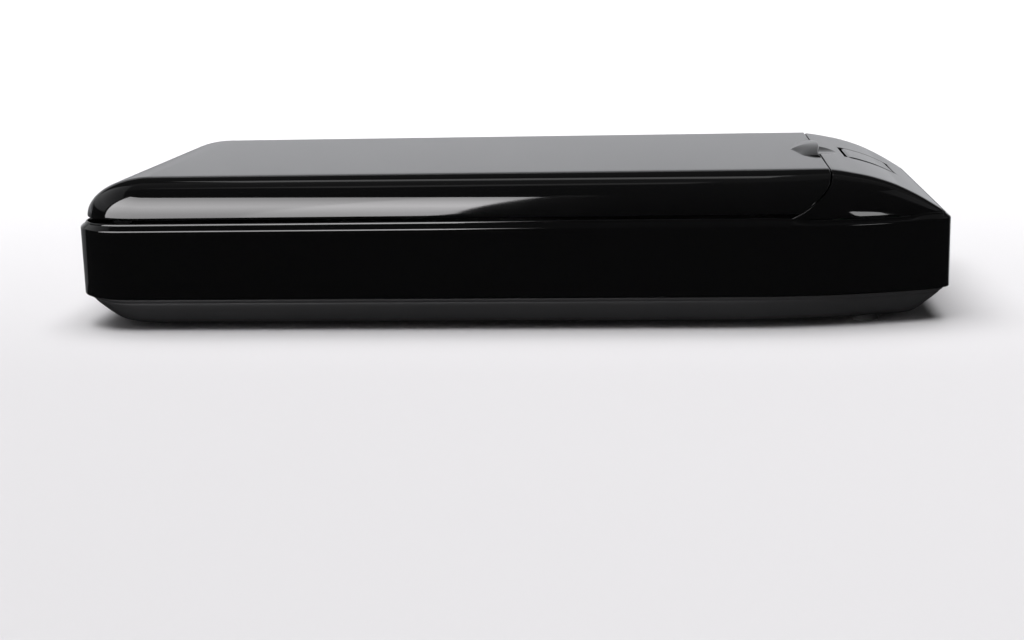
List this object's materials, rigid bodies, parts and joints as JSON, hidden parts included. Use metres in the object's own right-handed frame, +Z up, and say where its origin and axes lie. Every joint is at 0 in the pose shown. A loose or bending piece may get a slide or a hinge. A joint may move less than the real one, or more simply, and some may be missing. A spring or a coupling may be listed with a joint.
{
  "type": "uv sanitizer box for phones",
  "caption": "Long low phone sanitizer box: gloss lid hinged at one short end over a UVC-lit chamber, with a push button on the sloped control end.",
  "frame": {"origin": "middle of the footprint, on the surface that the feet stand on", "axes": "+X along the length towards the button end, -Y the long side that faces the viewer, +Z up"},
  "size_m": [0.265, 0.131, 0.0477],
  "materials": {
    "gloss_black": "piano gloss, moulded",
    "matte_black": "fine moulded grain",
    "rubber": "soft, matt",
    "reflector": "vacuum metallised, bright",
    "rack_plastic": "clear moulding",
    "led_board": "white solder mask",
    "led_package": "ceramic look with clear lens",
    "circuit_board": "green solder mask",
    "black_component": "moulded epoxy",
    "ivory_plastic": "plain moulded",
    "ferrite": "sintered, matt",
    "aluminium_can": "drawn can",
    "steel": "zinc plated",
    "magnet_nickel": "nickel plated",
    "cable_jacket": "soft jacket"
  },
  "bodies": {
    "base": {"bottom_shell": "matte_black", "foot_front_left": "rubber", "foot_front_right": "rubber", "foot_rear_left": "rubber", "foot_rear_right": "rubber", "rest_pad_front": "rubber", "rest_pad_rear": "rubber", "band_housing": "gloss_black", "control_cover": "gloss_black", "chamber_tray": "reflector", "phone_rack": "rack_plastic", "base_uvc_board": "led_board", "base_uvc_led_1": "led_package", "base_uvc_led_2": "led_package", "base_uvc_led_3": "led_package", "base_uvc_led_4": "led_package", "main_board": "circuit_board", "tact_switch": "black_component", "driver_chip": "black_component", "lid_sensor": "black_component", "cable_connector": "ivory_plastic", "driver_inductor": "ferrite", "filter_capacitor": "aluminium_can", "usb_socket": "steel", "board_screw_1": "steel", "board_screw_2": "steel", "case_screw_1": "steel", "case_screw_2": "steel", "case_screw_3": "steel", "case_screw_4": "steel", "hinge_bracket_front": "steel", "hinge_bracket_rear": "steel", "hinge_pin_front": "steel", "hinge_pin_rear": "steel", "bracket_screw_front": "steel", "bracket_screw_rear": "steel", "base_cable": "cable_jacket", "base_led_cable": "cable_jacket"},
    "lid": {"lid_shell": "gloss_black", "lid_liner": "reflector", "lid_uvc_board": "led_board", "lid_uvc_led_1": "led_package", "lid_uvc_led_2": "led_package", "lid_uvc_led_3": "led_package", "lid_uvc_led_4": "led_package", "liner_screw_1": "steel", "liner_screw_2": "steel", "liner_screw_3": "steel", "liner_screw_4": "steel", "lid_magnet": "magnet_nickel", "lid_cable": "cable_jacket"},
    "button": {"power_button": "gloss_black", "switch_plunger": "ivory_plastic"}
  },
  "joints": [
    {"name": "lid_hinge", "type": "hinge", "parent": "base", "child": "lid", "pos_m": [-0.118, 0, 0.034], "axis": [0, -1, 0], "range_deg": [0, 100]},
    {"name": "button_press", "type": "slide", "parent": "base", "child": "button", "axis": [0, 0, -1], "range_m": [0, 0.0005], "stiffness_N_per_m": 3000}
  ]
}
